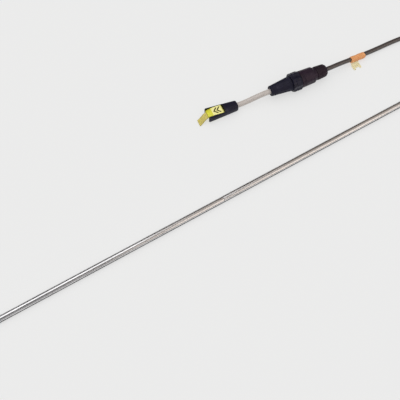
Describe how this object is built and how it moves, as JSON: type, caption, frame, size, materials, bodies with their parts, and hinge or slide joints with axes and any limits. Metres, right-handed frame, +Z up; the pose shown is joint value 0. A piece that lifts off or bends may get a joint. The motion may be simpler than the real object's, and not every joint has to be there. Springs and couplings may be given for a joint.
{
  "type": "avalanche probe",
  "caption": "Sectional aluminium snow probe on a tension cable, with a screw collar cable lock and a forked pull handle, laid out half unfolded.",
  "frame": {"origin": "bottom centre of the laid-out probe, on the surface it lies on, without the free cable", "axes": "+X along the two joined tubes towards the top mouth, +Y towards the folded bundle and the handle, +Z up"},
  "size_m": [0.9879, 0.4914, 0.0304],
  "materials": {
    "tube_aluminium": "satin, drawn lengthwise",
    "ferrule_alloy": "grey anodised",
    "steel_cable": "twisted strands",
    "black_plastic": "fine moulded texture",
    "sheath_plastic": "extruded jacket",
    "lead_plastic": "smooth sleeve",
    "brass_fittings": "turned",
    "pin_steel": "turned",
    "orange_sleeve": "shrink sleeve",
    "pale_film": "translucent film",
    "yellow_plastic": "printed, slightly worn",
    "yellow_webbing": "woven",
    "black_rubber": "soft moulded",
    "tip_steel": "turned"
  },
  "bodies": {
    "top_section": {"section_1_tube": "tube_aluminium", "section_1_cable": "steel_cable", "mouth_bush": "black_plastic", "cable_sheath": "sheath_plastic", "cable_lead": "lead_plastic", "marker_sleeve": "orange_sleeve", "marker_tab": "pale_film", "cable_crimp": "brass_fittings", "handle_body": "black_plastic", "handle_cross_pin": "pin_steel", "lock_nose": "black_rubber", "lock_barrel": "black_plastic", "lock_end_cap": "black_plastic", "guide_bush": "brass_fittings", "wedge_ring": "pin_steel", "release_spring": "pin_steel"},
    "second_section": {"section_2_tube": "tube_aluminium", "section_2_ferrule": "ferrule_alloy", "section_2_cable": "steel_cable", "fold_link_2_3": "steel_cable"},
    "third_section": {"section_3_tube": "tube_aluminium", "section_3_ferrule": "ferrule_alloy", "section_3_cable": "steel_cable", "fold_link_3_4": "steel_cable"},
    "fourth_section": {"section_4_tube": "tube_aluminium", "section_4_ferrule": "ferrule_alloy", "section_4_cable": "steel_cable", "fold_link_4_5": "steel_cable"},
    "fifth_section": {"section_5_tube": "tube_aluminium", "section_5_ferrule": "ferrule_alloy", "section_5_cable": "steel_cable", "fold_link_5_6": "steel_cable"},
    "tip_section": {"section_6_tube": "tube_aluminium", "section_6_ferrule": "ferrule_alloy", "section_6_cable": "steel_cable", "probe_tip": "tip_steel", "tip_stud": "brass_fittings"},
    "collar": {"lock_collar": "black_plastic"},
    "collet": {"clamp_collet": "brass_fittings"},
    "release": {"release_ring": "black_rubber"},
    "pull_tab": {"pull_tab": "yellow_plastic", "pull_strap": "yellow_webbing"}
  },
  "joints": [
    {"name": "section_pull", "type": "slide", "parent": "top_section", "child": "second_section", "axis": [-1, 0, 0], "range_m": [0, 0.045]},
    {"name": "fold_2_3", "type": "hinge", "parent": "second_section", "child": "third_section", "pos_m": [-0.3709, -0.23075, 0.005], "axis": [0, 0, 1], "range_deg": [-90, 90], "deforming": ["fold_link_2_3"]},
    {"name": "fold_3_4", "type": "hinge", "parent": "third_section", "child": "fourth_section", "pos_m": [-0.3909, 0.23425, 0.005], "axis": [0, 0, -1], "range_deg": [0, 180], "deforming": ["fold_link_3_4"]},
    {"name": "fold_4_5", "type": "hinge", "parent": "fourth_section", "child": "fifth_section", "pos_m": [-0.4109, -0.23075, 0.005], "axis": [0, 0, 1], "range_deg": [0, 180], "deforming": ["fold_link_4_5"]},
    {"name": "fold_5_6", "type": "hinge", "parent": "fifth_section", "child": "tip_section", "pos_m": [-0.4309, 0.23425, 0.005], "axis": [0, 0, -1], "range_deg": [0, 180], "deforming": ["fold_link_5_6"]},
    {"name": "collar_turn", "type": "hinge", "parent": "top_section", "child": "collar", "pos_m": [0.26394, -0.11721, 0.0152], "axis": [0.9945, -0.1045, 0], "range_deg": [0, 120]},
    {"name": "collet_slide", "type": "slide", "parent": "top_section", "child": "collet", "axis": [0.9945, -0.1045, 0], "range_m": [0, 0.0035]},
    {"name": "release_slide", "type": "slide", "parent": "top_section", "child": "release", "axis": [0.9945, -0.1045, 0], "range_m": [0, 0.0035], "stiffness_N_per_m": 800, "springref_m": -0.002, "deforming": ["release_spring"]},
    {"name": "pull_tab_swing", "type": "hinge", "parent": "top_section", "child": "pull_tab", "pos_m": [0.12851, -0.09865, 0.008], "axis": [0.1582, 0.9874, 0], "range_deg": [0, 75]}
  ],
  "couplings": [
    {"joint": "collet_slide", "follows": "collar_turn", "m_per_rad": 0.00167}
  ]
}
